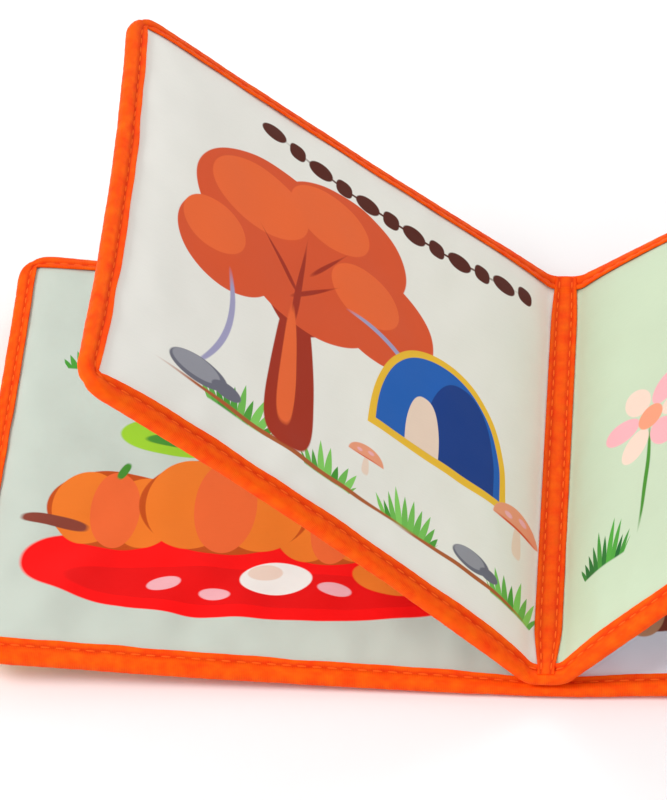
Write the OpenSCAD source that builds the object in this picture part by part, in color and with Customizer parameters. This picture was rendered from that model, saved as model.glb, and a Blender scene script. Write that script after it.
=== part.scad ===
// A soft cloth book for a baby: a padded cover spread that lies almost flat, and a padded inner spread
// sewn to it along the spine, whose two leaves stand open as a V. Each leaf is wadding between two page
// cloths with tape folded round its edges. X runs across the pages, Y along the spine, and Z is up.

/* [Leaves] */
// Width of an inner leaf, from the gutter to its free edge
page_w = 150; // [120:1:180]
// Width of a cover half, from its hinge to its free edge
cover_w = 150; // [120:1:180]
// Height of every leaf, along the spine
page_h = 155; // [120:1:190]
// Radius of a leaf's two outer corners
corner_r = 9; // [8.5:0.5:12]
// Half of a leaf's thickness at its bound edge, without the tape
edge_half = 1.2; // [1:0.1:2]
// How far the wadding swells each face in the middle of a leaf
puff = 3.2; // [1:0.1:4]
// Distance from an edge over which the swelling builds up
puff_run = 20; // [16:1:30]
// Thickness of the page cloth
cloth_t = 0.5; // [0.3:0.1:0.6]

/* [Tape] */
// Width of the binding on each face of a leaf
binding_w = 6.5; // [5:0.5:7.5]
// Thickness of the folded tape
tape_t = 0.7; // [0.4:0.1:0.9]
// Space between the edge of a leaf and the fold of its tape
fold_gap = 0.35; // [0.3:0.05:0.6]
// Space between layers that are sewn together
layer_gap = 0.15; // [0.12:0.01:0.2]

/* [Spine] */
// Width of the cover's spine, from hinge to hinge
spine_w = 12; // [11:1:20]
// Space between the spine and a cover half
hinge_gap = 0.35; // [0.3:0.05:0.6]
// Distance from the middle of the gutter to the foot of an inner leaf
leaf_foot = 4.4; // [4.2:0.1:5.2]
// Space between the foot of an inner leaf and the pieces in the spine
foot_gap = 0.3; // [0.3:0.05:0.5]
// Width of the tape in the gutter
gutter_w = 6.8; // [4:0.2:6.8]

/* [Stitches] */
// Distance from one stitch to the next
stitch_pitch = 4; // [3:0.5:6]
// Length of the thread that shows in one stitch
stitch_l = 2.8; // [1.5:0.1:2.9]
// Width of the thread
stitch_w = 0.5; // [0.3:0.1:0.8]
// Height of the thread on the tape
stitch_h = 0.3; // [0.2:0.05:0.5]
// Space between the two rows, from middle to middle
row_space = 3.6; // [1.5:0.1:4.4]

/* [Opening] */
// Angle at which the left inner leaf stands
left_rise = 43; // [40:1:46]
// Angle at which the right inner leaf stands
right_rise = 40.5; // [38:0.5:46]
// How much more the near end of the left leaf rises than its far end
left_twist = 4; // [0:0.5:5]
// How much more the near end of the right leaf rises than its far end
right_twist = 10; // [0:0.5:10]
// How much flatter an inner leaf is at its free edge than at its foot
leaf_bend = 2; // [0.5:0.5:6]
// Angle at which a cover half leaves the spine
cover_rise = 1.2; // [0.5:0.1:3]
// How much steeper a cover half is at its free edge than at the spine
cover_curl = 5; // [1:0.5:8]

/* [Hidden] */

// One radian in degrees
RAD = 180 / PI;
half_h = page_h / 2;
// Distance from a leaf's own surface to the outside of the tape on it
tape_out = tape_t + layer_gap;
// How far the fold of a binding stands out past the edge of its leaf
fold_out = tape_t + fold_gap;
// Depth of the wadding under the outside of a page cloth, and its setback from the edge
wadding_depth = cloth_t + layer_gap;
wadding_inset = 1;
cloth_inset = 0.2;
// Part of the edge's half thickness at which the fold of a binding turns
fold_turn = 0.25;
// Pieces in one corner of a binding
corner_steps = 5;
// Places along a leaf between its two swelling zones
middle_steps = 4;

// Heights of the layers in the spine, from the floor up
cover_web_z = tape_out;
cover_web_top = cover_web_z + 2 * edge_half;
cover_gutter_z = cover_web_top + layer_gap;
under_tape_z = cover_gutter_z + tape_out;
inner_web_z = under_tape_z + tape_out;
inner_web_top = inner_web_z + 2 * edge_half;
gutter_z = inner_web_top + layer_gap;

// A leaf is [side, foot x, foot z, rise, twist, bend, width, 1 if it rests on the floor]
SIDE = 0;
FOOT_X = 1;
FOOT_Z = 2;
RISE = 3;
TWIST = 4;
BEND = 5;
WIDTH = 6;
RESTS = 7;
cover_foot = spine_w / 2 + hinge_gap;
cover_mid_z = cover_web_z + edge_half;
leaf_mid_z = inner_web_z + edge_half;
front_cover = [-1, cover_foot, cover_mid_z, cover_rise, 0, -cover_curl, cover_w, 1];
back_cover = [1, cover_foot, cover_mid_z, cover_rise, 0, -cover_curl, cover_w, 1];
left_leaf = [-1, leaf_foot, leaf_mid_z, left_rise, left_twist, leaf_bend, page_w, 0];
right_leaf = [1, leaf_foot, leaf_mid_z, right_rise, right_twist, leaf_bend, page_w, 0];

// Colours of the cloths and the tape
orange = [1.0, 0.36, 0.06];
thread_orange = [0.85, 0.24, 0.03];
cream = [0.93, 0.92, 0.88];
pale_green = [0.82, 0.87, 0.74];
grey_green = [0.81, 0.85, 0.80];
lilac_grey = [0.78, 0.76, 0.82];
wadding_white = [0.96, 0.96, 0.95];

// Slope of a leaf at u from its foot and v along the spine
function leaf_angle(leaf, u, v) = leaf[RISE] - leaf[TWIST] * v / page_h - leaf[BEND] * u / leaf[WIDTH];

// The middle surface of a leaf, an arc whose slope changes evenly from the foot to the free edge
function arc_x(leaf, u, v) =
    let (a = leaf_angle(leaf, 0, v), b = leaf_angle(leaf, u, v))
    a == b ? u * cos(a) : u * RAD * (sin(a) - sin(b)) / (a - b);
function arc_z(leaf, u, v) =
    let (a = leaf_angle(leaf, 0, v), b = leaf_angle(leaf, u, v))
    a == b ? u * sin(a) : u * RAD * (cos(b) - cos(a)) / (a - b);

// Share of the full swelling at a distance from an edge
function swell(d) = 1 - pow(1 - min(max(d, 0) / puff_run, 1), 2);
function half_thickness(leaf, u, v) =
    edge_half + puff * swell(u) * swell(leaf[WIDTH] - u) * swell(half_h - abs(v));

// Room that the tape takes between a cover's cloth and the floor, fading out past the binding
function floor_gap(leaf, u, v) =
    let (d = min(u, leaf[WIDTH] - u, half_h - abs(v)))
    tape_out * min(1, max(0, 2 - d / binding_w));

// A point at a depth under the upper face (face 1) or the lower face (face -1) of a leaf
function leaf_point(leaf, u, v, face, depth) =
    let (
        a = leaf_angle(leaf, u, v),
        h = face * (half_thickness(leaf, u, v) - depth),
        x = leaf[FOOT_X] + arc_x(leaf, u, v) - h * sin(a),
        z = leaf[FOOT_Z] + arc_z(leaf, u, v) + h * cos(a),
        on_floor = leaf[RESTS] == 1 && face < 0
    )
    [leaf[SIDE] * x, v, on_floor ? max(z, floor_gap(leaf, u, v) + depth) : z];

// Furthest reach of a leaf at v, with its rounded corners
function reach(leaf, v) =
    let (past = min(corner_r, max(0, abs(v) - half_h + corner_r)))
    leaf[WIDTH] - corner_r + sqrt(corner_r * corner_r - past * past);

// Distances from a bound edge at which the surface gets a line of points
function edge_lines() = [0, binding_w / 2, binding_w, (binding_w + puff_run) / 2, puff_run];
function middle_lines(from, to) = [for (i = [1 : middle_steps - 1]) from + (to - from) * i / middle_steps];
function foot_lines() = [0, 0.3 * puff_run, 0.65 * puff_run, puff_run];
function u_lines(leaf) = concat(
    foot_lines(),
    middle_lines(puff_run, leaf[WIDTH] - puff_run),
    [for (i = [4 : -1 : 0]) leaf[WIDTH] - edge_lines()[i]]
);
function v_lines() = concat(
    [for (d = edge_lines()) d - half_h],
    middle_lines(puff_run - half_h, half_h - puff_run),
    [for (i = [4 : -1 : 0]) half_h - edge_lines()[i]]
);

// A grid point of a layer, drawn in from the edge and round the corners
function grid_point(leaf, u, v, inset, face, depth) =
    let (
        vi = v * (half_h - inset) / half_h,
        start = leaf[WIDTH] - puff_run,
        squeeze = (reach(leaf, v) - inset - start) / puff_run,
        ui = u <= start ? u : start + (u - start) * squeeze
    )
    leaf_point(leaf, ui, vi, face, depth);

// Faces turn over on the left side, which is the right side's mirror image
function turned(leaf, faces) = leaf[SIDE] > 0 ? faces : [for (f = faces) [f[0], f[2], f[1]]];

// The closed solid between two depths of a leaf, each given as [face, depth]
module layer(leaf, upper, lower, inset) {
    us = u_lines(leaf);
    vs = v_lines();
    nu = len(us);
    nv = len(vs);
    n = nu * nv;
    points = [
        for (side = [upper, lower]) for (v = vs) for (u = us)
            grid_point(leaf, u, v, inset, side[0], side[1])
    ];
    skin = [
        for (j = [0 : nv - 2]) for (i = [0 : nu - 2]) let (a = j * nu + i) each [
            [a, a + nu, a + nu + 1], [a, a + nu + 1, a + 1],
            [n + a, n + a + nu + 1, n + a + nu], [n + a, n + a + 1, n + a + nu + 1]
        ]
    ];
    ends = [
        for (i = [0 : nu - 2]) let (b = (nv - 1) * nu + i) each [
            [i, i + 1, n + i + 1], [i, n + i + 1, n + i],
            [b + 1, b, n + b], [b + 1, n + b, n + b + 1]
        ]
    ];
    sides = [
        for (j = [0 : nv - 2]) let (a = j * nu, b = a + nu - 1) each [
            [a + nu, a, n + a], [a + nu, n + a, n + a + nu],
            [b, b + nu, n + b + nu], [b, n + b + nu, n + b]
        ]
    ];
    polyhedron(points, turned(leaf, concat(skin, ends, sides)), convexity = 4);
}

module top_cloth(leaf) {
    layer(leaf, [1, 0], [1, cloth_t], cloth_inset);
}

module under_cloth(leaf) {
    layer(leaf, [-1, cloth_t], [-1, 0], cloth_inset);
}

module wadding(leaf) {
    layer(leaf, [1, wadding_depth], [-1, wadding_depth], wadding_inset);
}

// The bound outline of a leaf as [u, v, outward direction], from the near end of the spine to the far end
function bound_edge(leaf) =
    let (
        w = leaf[WIDTH],
        rising = [for (d = [puff_run, (binding_w + puff_run) / 2]) if (d > corner_r + 1) d],
        last = len(rising) - 1,
        straight = concat(
            foot_lines(), middle_lines(puff_run, w - puff_run), [for (d = rising) w - d]
        ),
        n = len(straight)
    )
    concat(
        [for (u = straight) [u, -half_h, -90]],
        [for (k = [0 : corner_steps]) corner_place(w, -1, -90 + 90 * k / corner_steps)],
        [for (i = [last : -1 : 0]) [w, rising[i] - half_h, 0]],
        [for (v = middle_lines(puff_run - half_h, half_h - puff_run)) [w, v, 0]],
        [for (d = rising) [w, half_h - d, 0]],
        [for (k = [0 : corner_steps]) corner_place(w, 1, 90 * k / corner_steps)],
        [for (i = [n - 1 : -1 : 0]) [straight[i], half_h, 90]]
    );
function corner_place(w, end, turn) =
    [w - corner_r + corner_r * cos(turn), end * (half_h - corner_r) + corner_r * sin(turn), turn];

// Section of the folded tape as [distance in from the edge, face, depth]: outside, then back along the inside
function tape_section() = [
    [binding_w, 1, -tape_out], [binding_w / 2, 1, -tape_out], [-fold_gap, 1, -tape_out],
    [-fold_out, 1, fold_turn * edge_half], [-fold_out, -1, fold_turn * edge_half],
    [-fold_gap, -1, -tape_out], [binding_w / 2, -1, -tape_out], [binding_w, -1, -tape_out],
    [binding_w, -1, -layer_gap], [binding_w / 2, -1, -layer_gap], [-fold_gap, -1, -layer_gap],
    [-fold_gap, 1, -layer_gap], [binding_w / 2, 1, -layer_gap], [binding_w, 1, -layer_gap]
];
// The triangles that close the section's cut end
function tape_end() = [
    [0, 1, 12], [0, 12, 13], [1, 2, 11], [1, 11, 12], [2, 3, 11], [3, 10, 11],
    [3, 4, 10], [4, 5, 10], [5, 6, 9], [5, 9, 10], [6, 7, 8], [6, 8, 9]
];

// Tape folded round the three free edges of a leaf
module binding(leaf) {
    edge = bound_edge(leaf);
    section = tape_section();
    n = len(section);
    last = (len(edge) - 1) * n;
    points = [
        for (e = edge) for (s = section)
            leaf_point(leaf, e[0] - s[0] * cos(e[2]), e[1] - s[0] * sin(e[2]), s[1], s[2])
    ];
    walls = [
        for (k = [0 : len(edge) - 2]) for (i = [0 : n - 1])
            let (a = k * n + i, b = k * n + (i + 1) % n) each [[a, a + n, b + n], [a, b + n, b]]
    ];
    caps = [for (t = tape_end()) each [t, [last + t[0], last + t[2], last + t[1]]]];
    polyhedron(points, turned(leaf, concat(walls, caps)), convexity = 6);
}

module front_cover_inside_cloth() {
    color(grey_green) top_cloth(front_cover);
}

module front_cover_outside_cloth() {
    color(cream) under_cloth(front_cover);
}

module front_cover_wadding() {
    color(wadding_white) wadding(front_cover);
}

module front_cover_binding() {
    color(orange) binding(front_cover);
}

module back_cover_inside_cloth() {
    color(lilac_grey) top_cloth(back_cover);
}

module back_cover_outside_cloth() {
    color(cream) under_cloth(back_cover);
}

module back_cover_wadding() {
    color(wadding_white) wadding(back_cover);
}

module back_cover_binding() {
    color(orange) binding(back_cover);
}

module left_leaf_top_cloth() {
    color(cream) top_cloth(left_leaf);
}

module left_leaf_under_cloth() {
    color(pale_green) under_cloth(left_leaf);
}

module left_leaf_wadding() {
    color(wadding_white) wadding(left_leaf);
}

module left_leaf_binding() {
    color(orange) binding(left_leaf);
}

module right_leaf_top_cloth() {
    color(pale_green) top_cloth(right_leaf);
}

module right_leaf_under_cloth() {
    color(lilac_grey) under_cloth(right_leaf);
}

module right_leaf_wadding() {
    color(wadding_white) wadding(right_leaf);
}

module right_leaf_binding() {
    color(orange) binding(right_leaf);
}

// A strip along the spine, between the folds at its two ends
strip_l = page_h - 2 * binding_w - 2 * layer_gap;
module strip(width, z) {
    translate([-width / 2, -strip_l / 2, z]) cube([width, strip_l, tape_t]);
}

// Tape folded over both ends of a web that lies from z to top
module end_folds(width, z, top) {
    low = z - tape_out;
    high = top + tape_out;
    outer = half_h + fold_out;
    for (end = [-1, 1]) mirror([0, end > 0 ? 1 : 0, 0])
        translate([-width / 2, 0, 0]) rotate([90, 0, 90]) linear_extrude(width) polygon([
            [binding_w - half_h, low], [-outer, low], [-outer, high], [binding_w - half_h, high],
            [binding_w - half_h, high - tape_t], [-half_h - fold_gap, high - tape_t],
            [-half_h - fold_gap, low + tape_t], [binding_w - half_h, low + tape_t]
        ]);
}

// Room between the feet of the two inner leaves, over the length of the spine
mean_rise = (left_rise + right_rise) / 2;
function foot_space(z) = leaf_foot - foot_gap - (z - leaf_mid_z) * tan(mean_rise);
module between_feet(z, top) {
    length = page_h + 4 * fold_out;
    translate([0, length / 2, 0]) rotate([90, 0, 0]) linear_extrude(length) polygon([
        [-foot_space(z), z], [foot_space(z), z], [foot_space(top), top], [-foot_space(top), top]
    ]);
}

module spine_tape() {
    color(orange) strip(spine_w, 0);
}

// The cover's cloths and wadding, sewn flat through the spine
module cover_spine_web() {
    color(grey_green) translate([-spine_w / 2, -half_h, cover_web_z])
        cube([spine_w, page_h, 2 * edge_half]);
}

module cover_gutter_tape() {
    color(orange) strip(spine_w, cover_gutter_z);
}

module cover_end_folds() {
    color(orange) end_folds(spine_w, cover_web_z, cover_web_top);
}

module under_tape() {
    color(orange) intersection() {
        strip(2 * spine_w, under_tape_z);
        between_feet(under_tape_z, inner_web_z);
    }
}

// The inner spread's cloths and wadding, sewn flat through the gutter
module inner_spine_web() {
    color(cream) intersection() {
        translate([-spine_w, -half_h, inner_web_z]) cube([2 * spine_w, page_h, 2 * edge_half]);
        between_feet(under_tape_z, gutter_z);
    }
}

module gutter_tape() {
    color(orange) strip(gutter_w, gutter_z);
}

module inner_end_folds() {
    color(orange) intersection() {
        end_folds(2 * spine_w, inner_web_z, inner_web_top);
        between_feet(under_tape_z, gutter_z + tape_t);
    }
}

// Two rows of stitches that hold the gutter tape down
module gutter_stitches() {
    count = floor((strip_l - stitch_l) / stitch_pitch);
    start = -count * stitch_pitch / 2;
    color(thread_orange)
        for (row = [-1, 1]) for (i = [0 : count])
            translate([
                row * row_space / 2 - stitch_w / 2,
                start + i * stitch_pitch - stitch_l / 2,
                gutter_z + tape_t
            ]) cube([stitch_w, stitch_l, stitch_h]);
}

front_cover_inside_cloth();
front_cover_outside_cloth();
front_cover_wadding();
front_cover_binding();
back_cover_inside_cloth();
back_cover_outside_cloth();
back_cover_wadding();
back_cover_binding();
left_leaf_top_cloth();
left_leaf_under_cloth();
left_leaf_wadding();
left_leaf_binding();
right_leaf_top_cloth();
right_leaf_under_cloth();
right_leaf_wadding();
right_leaf_binding();
spine_tape();
cover_spine_web();
cover_gutter_tape();
cover_end_folds();
under_tape();
inner_spine_web();
gutter_tape();
inner_end_folds();
gutter_stitches();
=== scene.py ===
"""Dresses the cloth book: padded pages of printed cloth, folded orange tape and rows of stitches."""
import logging
import math
from dataclasses import dataclass, field
from enum import Enum
from typing import Callable, Sequence

import bmesh
import bpy
from mathutils import Matrix, Vector, noise


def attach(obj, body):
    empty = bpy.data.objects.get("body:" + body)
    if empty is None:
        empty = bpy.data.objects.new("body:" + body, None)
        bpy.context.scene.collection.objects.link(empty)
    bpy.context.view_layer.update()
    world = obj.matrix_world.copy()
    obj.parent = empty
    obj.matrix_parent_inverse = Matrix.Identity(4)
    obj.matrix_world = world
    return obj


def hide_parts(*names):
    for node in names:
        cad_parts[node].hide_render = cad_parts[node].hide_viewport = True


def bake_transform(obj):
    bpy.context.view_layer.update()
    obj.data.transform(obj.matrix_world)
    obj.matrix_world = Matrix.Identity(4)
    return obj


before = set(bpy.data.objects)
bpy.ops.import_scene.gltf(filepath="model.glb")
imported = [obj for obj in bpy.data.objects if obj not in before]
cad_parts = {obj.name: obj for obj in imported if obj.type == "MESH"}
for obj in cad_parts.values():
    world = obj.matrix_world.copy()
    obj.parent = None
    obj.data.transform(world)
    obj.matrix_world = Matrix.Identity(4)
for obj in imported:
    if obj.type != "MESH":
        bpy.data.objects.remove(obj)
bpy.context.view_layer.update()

LOG = logging.getLogger("cloth_book")
MM = 0.001
# Millimetres in one unit of the flat cloth's own UV map
UV_MM = 100.0
# Edges sharper than this stay sharp in the smooth shading
SHARP = math.radians(50)


class Face(Enum):
    """The two faces of a leaf."""

    TOP = 1
    UNDER = -1


class Body(Enum):
    """The bodies of the frame."""

    SPINE = "spine"
    FRONT = "front_cover"
    BACK = "back_cover"


@dataclass(frozen=True)
class TapeSize:
    """Sizes of the folded tape, in millimetres."""

    width: float = 6.5
    thickness: float = 0.6
    gap: float = 0.1
    fold_gap: float = 0.3
    fold_arc: float = 2.2
    seam_in: float = 3.6
    stitch_pitch: float = 4.0
    stitch_length: float = 2.9
    thread_radius: float = 0.26
    groove: float = 0.26
    groove_width: float = 0.55
    lip_thin: float = 0.3
    lip_round: float = 0.35
    ripple: float = 0.06
    drift: float = 0.14
    lump: float = 0.1
    uneven: float = 0.45
    corner_fold: float = 0.3
    corner_width: float = 0.16
    # Width of the painted shade beside each row of stitches
    painted_shade_width: float = 0.8

    @property
    def outside(self) -> float:
        """Height of the tape's outer side above the cloth."""
        return self.gap + self.thickness


@dataclass(frozen=True)
class Wrinkles:
    """Heights and wavelengths of the puckers and wrinkles in a page's cloth, in millimetres.

    Puckers run in from the seams at the side, the end and the gutter. The others lie over the whole
    page, and drag is the slanting one near the reader's end.
    """

    pucker: float = 0.55
    pucker_pitch: tuple[float, float, float] = (9.0, 8.0, 6.5)
    pucker_length: float = 26.0
    pucker_fade: float = 9.0
    broad: float = 0.5
    broad_pitch: tuple[float, float] = (38.0, 30.0)
    fine: float = 0.27
    fine_pitch: tuple[float, float] = (11.0, 13.0)
    drag: float = 0.9
    drag_pitch: tuple[float, float] = (13.0, 45.0)
    drag_fade: float = 30.0
    seam_fade: float = 2.5


TAPE = TapeSize()
WRINKLES = Wrinkles()


@dataclass(frozen=True)
class Leaf:
    """One padded leaf, in millimetres: u runs out from its foot and v along the spine.

    round_off is how far the bend at its foot reaches each way, and crease scales its wrinkles.
    lip_end and lip_side are the tape's width on the page at the ends and at the free edge, and lip_foot
    is what it gains or loses at the foot. splay is how much further the leaf reaches at its near end,
    waist is how far the padding draws its edges in between the corners, and pinch is the share by which
    its edges are thinner at the foot.
    """

    side: int
    foot_x: float
    foot_z: float
    rise: float
    twist: float
    bend: float
    width: float
    on_floor: bool
    round_off: float
    crease: float
    seed: float
    lip_end: float = 4.9
    lip_side: float = 3.9
    lip_foot: float = 0.0
    splay: float = 0.0
    waist: float = 1.2
    pinch: float = 0.5
    height: float = 155.0
    corner: float = 9.0
    edge_half: float = 1.0
    puff: float = 3.2
    run: float = 20.0
    pinch_run: float = 35.0

    def drawn(self, u: float, v: float) -> tuple[float, float]:
        """Where a flat place goes when the padding draws the edges in."""
        out, along = min(max(u / self.width, 0.0), 1.0), 2 * v / self.height
        u -= out * (self.splay * along / 2 + self.waist * max(0.0, 1 - along**2))
        return u, v - math.copysign(self.waist, v) * abs(along) ** 3 * 4 * out * (1 - out)

    def lip(self, u: float) -> float:
        """Width of the tape on the page along the leaf's ends."""
        return self.lip_end + self.lip_foot * (1 - u / self.width)

    def foot_slope(self, v: float) -> float:
        """Slope of the leaf at its foot, in radians."""
        return math.radians(self.rise - self.twist * v / self.height)

    def gutter_u(self, v: float) -> float:
        """The u at which the rounded foot reaches the middle of the spine."""
        slope = self.foot_slope(v)
        arc = self.round_off * slope / math.tan(slope / 2)
        return 2 * self.round_off - arc - self.foot_x

    def middle(self, u: float, v: float) -> tuple[float, float, float]:
        """A place on the leaf's middle surface.

        Args:
            u: Distance out from the foot.
            v: Place along the spine.

        Returns:
            The distance from the spine's middle, the height and the slope in radians.
        """
        slope, reach = self.foot_slope(v), self.round_off
        if u >= reach:
            end = slope - math.radians(self.bend * u / self.width)
            turn = slope - end
            across = u * (math.sin(slope) - math.sin(end)) / turn
            up = u * (math.cos(end) - math.cos(slope)) / turn
            return self.foot_x + across, self.foot_z + up, end
        radius = reach / math.tan(slope / 2)
        along = u - reach + radius * slope
        if along <= 0:
            return self.foot_x - reach + along, self.foot_z, 0.0
        angle = along / radius
        across = radius * math.sin(angle)
        return self.foot_x - reach + across, self.foot_z + radius * (1 - math.cos(angle)), angle

    def swell(self, distance: float) -> float:
        """Share of the full swelling at a distance from an edge."""
        return 1 - (1 - min(max(distance, 0.0) / self.run, 1.0)) ** 2

    def half(self, u: float, v: float) -> float:
        """Half of the leaf's thickness."""
        edges = self.swell(self.width - u) * self.swell(self.height / 2 - abs(v))
        rim = self.edge_half * (1 - self.pinch * math.exp(-max(u, 0.0) / self.pinch_run))
        return rim + self.puff * self.swell(u) * edges

    def floor_gap(self, u: float, v: float) -> float:
        """Room under a cover's cloth for the tape, fading out past the binding."""
        edge = min(u, self.width - u, self.height / 2 - abs(v))
        return TAPE.outside * min(1.0, max(0.0, 2 - edge / TAPE.width))

    def point(self, u: float, v: float, face: Face, depth: float) -> Vector:
        """A point at a depth under one of the leaf's faces.

        Args:
            u: Distance out from the foot.
            v: Place along the spine.
            face: Which face the depth is measured from.
            depth: Depth under the face, negative above it.

        Returns:
            The point in metres.
        """
        drawn_u, drawn_v = self.drawn(u, v)
        across, up, slope = self.middle(drawn_u, v)
        lift = face.value * (self.half(u, v) - depth)
        x, z = across - lift * math.sin(slope), up + lift * math.cos(slope)
        if self.on_floor and face is Face.UNDER:
            z = max(z, self.floor_gap(u, v) + depth, 0.0)
        return Vector((self.side * x, drawn_v, z)) * MM

    def reach(self, v: float) -> float:
        """Furthest u at v, with the rounded corners."""
        past = min(self.corner, max(0.0, abs(v) - self.height / 2 + self.corner))
        return self.width - self.corner + math.sqrt(self.corner**2 - past**2)

    def crumple(self, u: float, v: float, face: Face) -> float:
        """Height of the puckers and soft wrinkles of the cloth, zero under the tape."""
        side_in = self.width - u - self.lip_side
        end_in = self.height / 2 - abs(v) - self.lip(u)
        inside = min(side_in, end_in, u + 1.0)
        if inside <= 0:
            return 0.0
        w, shift, total = WRINKLES, self.seed + 7.3 * face.value, 0.0
        rows = zip((side_in, end_in, u + 1.0), (v, u, v), w.pucker_pitch)
        for distance, along, pitch in rows:
            fade = math.exp(-max(distance, 0.0) / w.pucker_fade)
            total += w.pucker * fade * noise.noise(Vector((along / pitch, distance / w.pucker_length, shift)))
            shift += 11.7
        total += w.broad * noise.noise(Vector((u / w.broad_pitch[0], v / w.broad_pitch[1], shift)))
        total += w.fine * noise.noise(Vector((u / w.fine_pitch[0], v / w.fine_pitch[1], shift + 5.1)))
        drag = math.exp(-max(end_in, 0.0) / w.drag_fade) if v < 0 else 0.0
        slant = Vector(((u + 0.5 * v) / w.drag_pitch[0], (v - 0.3 * u) / w.drag_pitch[1], shift))
        total += w.drag * drag * noise.noise(slant)
        return self.crease * total * (1 - math.exp(-inside / w.seam_fade))


@dataclass(frozen=True)
class Station:
    """A place on a leaf's edge, with the direction in to the page and the tape's width there."""

    leaf: Leaf
    u: float
    v: float
    in_u: float
    in_v: float
    lip: float


def spaced(start: float, end: float, step: float) -> list[float]:
    """Evenly spaced values from start to end, about a step apart."""
    count = max(1, round(abs(end - start) / step))
    return [start + (end - start) * i / count for i in range(count + 1)]


def outline(leaf: Leaf, step: float = 1.3) -> list[Station]:
    """Stations round a leaf's three bound edges.

    Args:
        leaf: The leaf that is bound.
        step: Distance between stations, in millimetres.

    Returns:
        The stations from the near end of the gutter to its far end.
    """
    half, width, corner = leaf.height / 2, leaf.width, leaf.corner
    stations = []
    for end in (-1, 1):
        run = [
            Station(leaf, u, end * half, 0.0, -end, leaf.lip(u))
            for u in spaced(leaf.gutter_u(end * half), width - corner, step)
        ]
        bend = []
        for degrees in spaced(0.0, 90.0, 7.5)[1:]:
            angle = math.radians(degrees)
            across, along = math.sin(angle), math.cos(angle)
            u, v = width - corner + corner * across, end * (half - corner + corner * along)
            kept = min((corner - leaf.lip_side) / across, (corner - leaf.lip(u)) / max(along, 1e-6))
            bend.append(Station(leaf, u, v, -across, -end * along, corner - kept))
        stations.append(run + bend)
    side = [
        Station(leaf, width, v, -1.0, 0.0, leaf.lip_side) for v in spaced(corner - half, half - corner, step)
    ]
    return stations[0] + side[1:-1] + stations[1][::-1]


def index_block(columns: int, rows: int) -> bmesh.types.BMesh:
    """A closed slab whose corners hold their column, their row, and 0 or 1 for their layer."""
    bm = bmesh.new()
    bmesh.ops.create_grid(bm, x_segments=columns, y_segments=rows, size=1.0)
    to_index = Matrix.Diagonal((columns / 2, rows / 2, 1.0, 1.0)) @ Matrix.Translation((1, 1, 0))
    bmesh.ops.transform(bm, matrix=to_index, verts=bm.verts)
    lifted = bmesh.ops.extrude_face_region(bm, geom=bm.faces[:], use_keep_orig=True)
    upper = [item for item in lifted["geom"] if isinstance(item, bmesh.types.BMVert)]
    bmesh.ops.translate(bm, vec=(0, 0, 1), verts=upper)
    return bm


def lay_out(
    bm: bmesh.types.BMesh,
    flat: Callable[[int, int], tuple[float, float]],
    place: Callable[[int, int, int], Vector],
    dress: Callable[[float, float, float], int],
    seam: Callable[[int, int], float] = lambda _i, _j: 0.0,
) -> None:
    """Gives an indexed slab its UV map, its material slots and its place.

    Args:
        bm: The slab from index_block.
        flat: The flat cloth's place at a column and a row, in millimetres.
        place: The point of a column, a row and a layer, in metres.
        dress: The material slot for a face's middle column, row and layer.
        seam: How close a column and a row are to a row of stitches, from 0 to 1, kept as the weight of the
            tape's painted shade there.
    """
    layer = bm.loops.layers.uv.new("flat")
    # The seam layer holds the weight of the painted shade beside the stitches
    shade = bm.verts.layers.float.new("seam")
    for face in bm.faces:
        centre = face.calc_center_median()
        face.material_index = dress(centre.x, centre.y, centre.z)
        face.smooth = True
        for loop in face.loops:
            x, y = flat(round(loop.vert.co.x), round(loop.vert.co.y))
            loop[layer].uv = (x / UV_MM, y / UV_MM)
    for vert in bm.verts:
        i, j, k = (round(value) for value in vert.co)
        vert[shade] = seam(i, j)
        vert.co = place(i, j, k)


def finished(bm: bmesh.types.BMesh, name: str, materials: Sequence[bpy.types.Material]) -> bpy.types.Object:
    """Turns a bmesh into a linked object with smooth faces and sharp creases."""
    bmesh.ops.recalc_face_normals(bm, faces=bm.faces)
    for edge in bm.edges:
        edge.smooth = edge.calc_face_angle(0.0) < SHARP
    mesh = bpy.data.meshes.new(name)
    bm.to_mesh(mesh)
    bm.free()
    for material in materials:
        mesh.materials.append(material)
    piece = bpy.data.objects.new(name, mesh)
    bpy.context.scene.collection.objects.link(piece)
    return piece


def painted_groove_shade(distance: float, seam: float) -> float:
    """Weight of the painted shade on the tape beside a row of stitches, from 0 to 1."""
    return math.exp(-(((distance - seam) / TAPE.painted_shade_width) ** 2))


def tape_lines() -> list[float]:
    """Places across the tape, from its lip on the under face to its lip on the top face."""
    lip, seam, arc = TAPE.width, TAPE.seam_in, TAPE.fold_arc
    groove = [seam + 0.75, seam + 0.3, seam - 0.3, seam - 0.75]
    flat = [lip, lip - TAPE.lip_round, (lip + seam) / 2 + 0.3, *groove, 1.4, 0.5]
    top = [arc + q for q in flat] + [arc * k / 4 for k in (4, 3, 2, 1)]
    return [-t for t in top] + [0.0] + top[::-1]


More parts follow.
